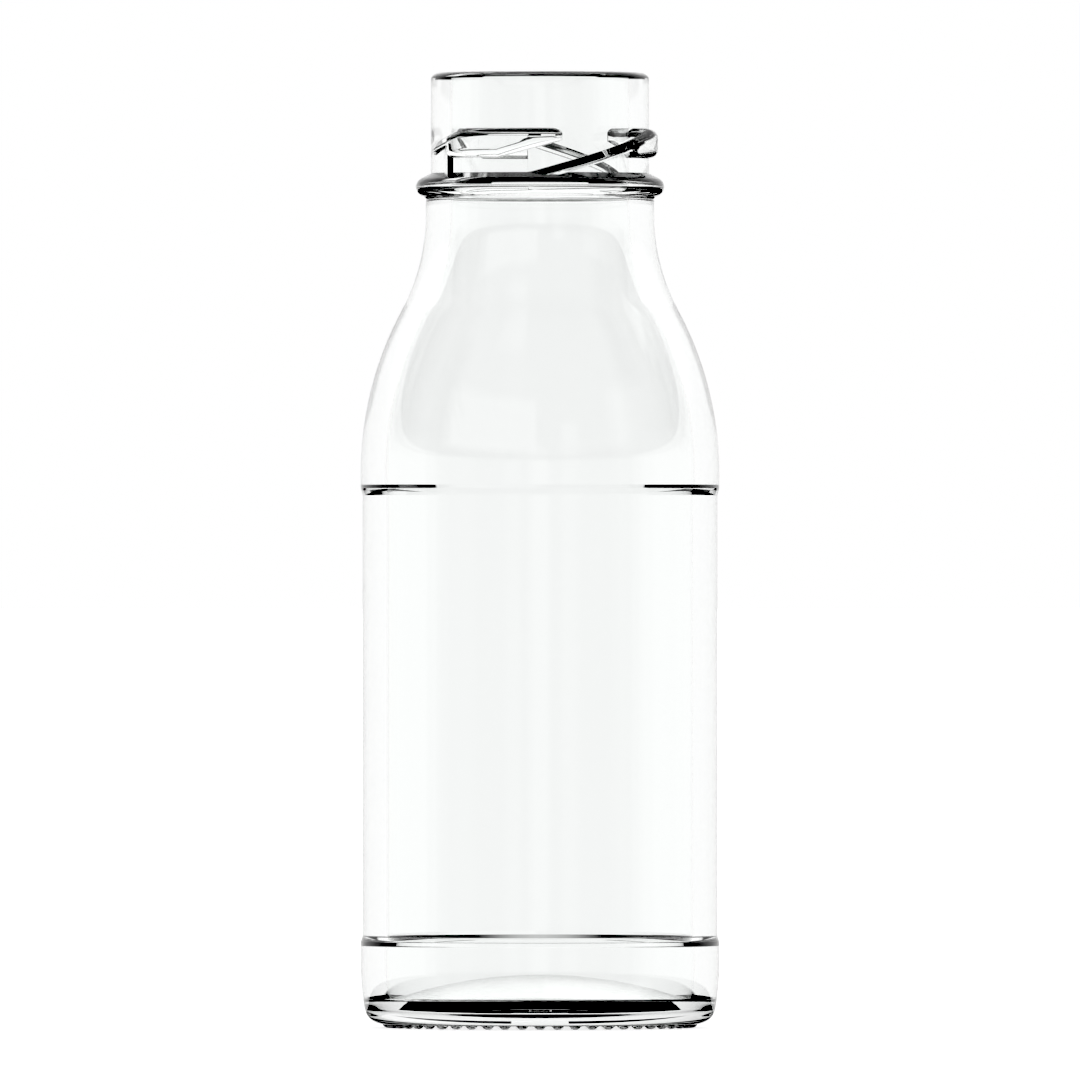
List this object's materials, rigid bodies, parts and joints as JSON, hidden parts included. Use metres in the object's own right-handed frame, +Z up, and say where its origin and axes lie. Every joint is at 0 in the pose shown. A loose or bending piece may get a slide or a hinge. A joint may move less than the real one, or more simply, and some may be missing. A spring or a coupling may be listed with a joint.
{
  "type": "glass milk bottle",
  "caption": "Clear glass milk bottle with a set-in label panel, a sloping shoulder and a deep twist-off finish.",
  "frame": {"origin": "centre of the plane that the bottle stands on", "axes": "+Z up along the bottle's axis, -Y towards the viewer of the picture, +X to that viewer's right"},
  "size_m": [0.0574, 0.0574, 0.1528],
  "materials": {
    "bottle": "clear"
  },
  "bodies": {
    "root": {"bottle": "bottle"}
  },
  "joints": []
}
